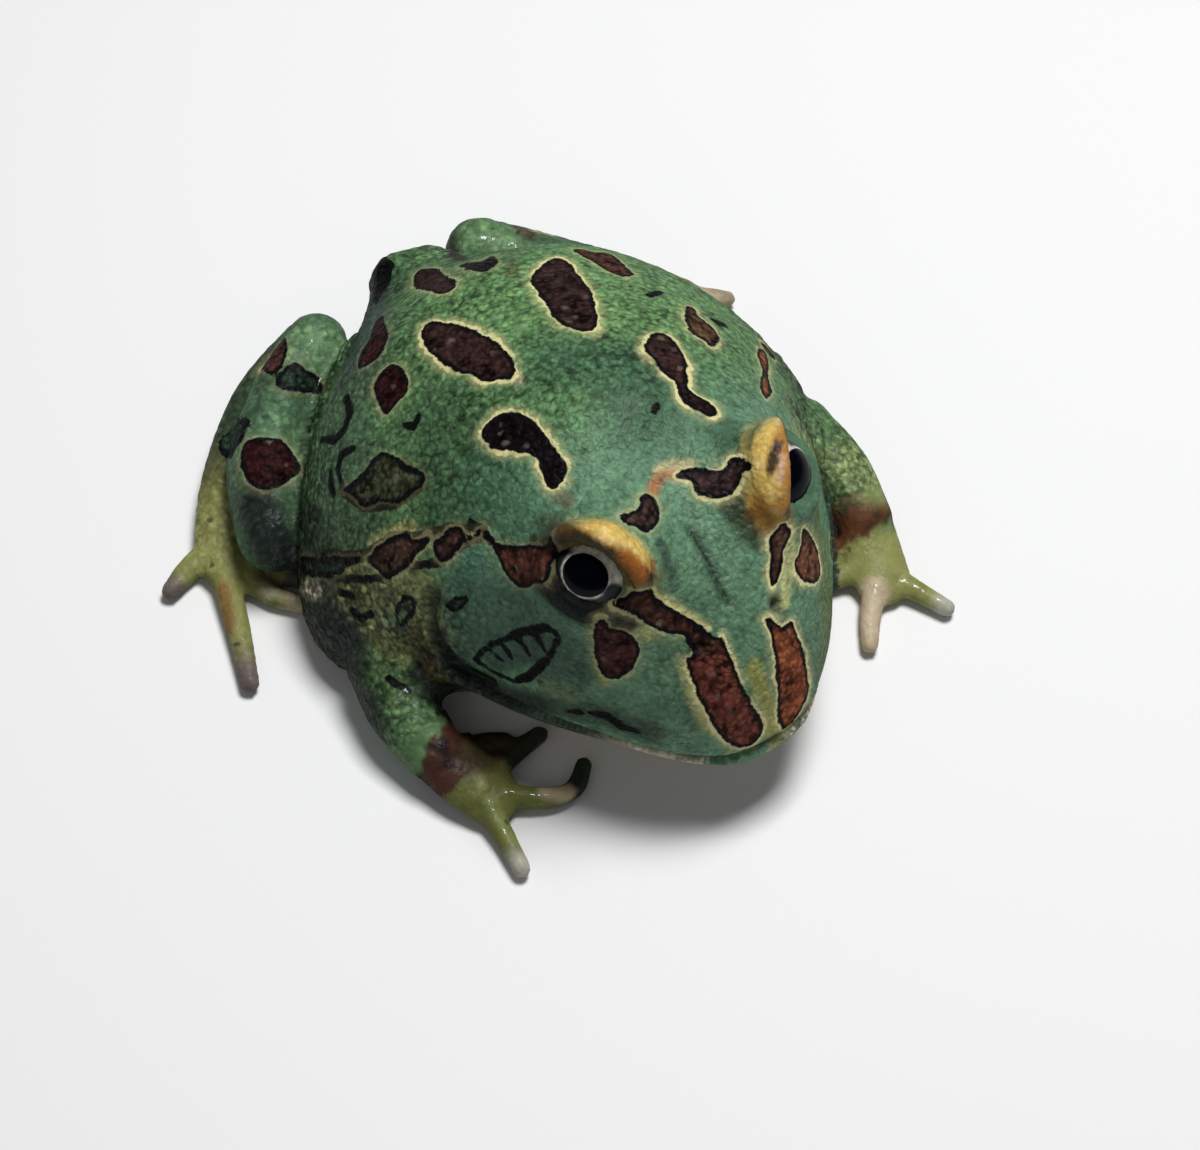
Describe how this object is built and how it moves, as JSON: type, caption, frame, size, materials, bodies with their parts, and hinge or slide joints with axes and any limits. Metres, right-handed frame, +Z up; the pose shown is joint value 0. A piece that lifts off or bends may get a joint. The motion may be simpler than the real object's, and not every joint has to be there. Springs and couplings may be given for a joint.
{
  "type": "argentine horned frog",
  "caption": "Life-size horned frog crouching with its belly on the floor: broad head, horn-like brows, wide mouth, short limbs and long free digits.",
  "frame": {"origin": "on the floor under the belly, in the frog's middle plane, a little behind the neck", "axes": "+X to the frog's left, -Y the way it faces, +Z up"},
  "size_m": [0.103, 0.1045, 0.05],
  "materials": {
    "green_skin": "granular wet skin, teal green with red-brown spots edged in black and pale yellow",
    "pale_skin": "granular wet skin, cream, going over to green at the lip and flank",
    "digit_skin": "smooth wet skin, olive yellow with grey to black tips",
    "brow": "granular wet skin, ochre yellow with an orange front end",
    "eye": "wet clear cornea over a silver iris and a black pupil"
  },
  "bodies": {
    "root": {"torso": "green_skin", "head": "green_skin", "lower_jaw": "pale_skin", "eye_right": "eye", "upper_eyelid_right": "brow", "eye_left": "eye", "upper_eyelid_left": "brow", "upper_arm_right": "green_skin", "forearm_right": "green_skin", "hand_right": "green_skin", "finger_1_right": "digit_skin", "finger_2_right": "digit_skin", "finger_3_right": "digit_skin", "finger_4_right": "digit_skin", "thigh_right": "green_skin", "shank_right": "green_skin", "foot_right": "green_skin", "toe_1_right": "digit_skin", "toe_2_right": "digit_skin", "toe_3_right": "digit_skin", "toe_4_right": "digit_skin", "toe_5_right": "digit_skin", "upper_arm_left": "green_skin", "forearm_left": "green_skin", "hand_left": "green_skin", "finger_1_left": "digit_skin", "finger_2_left": "digit_skin", "finger_3_left": "digit_skin", "finger_4_left": "digit_skin", "thigh_left": "green_skin", "shank_left": "green_skin", "foot_left": "green_skin", "toe_1_left": "digit_skin", "toe_2_left": "digit_skin", "toe_3_left": "digit_skin", "toe_4_left": "digit_skin", "toe_5_left": "digit_skin"}
  },
  "joints": []
}
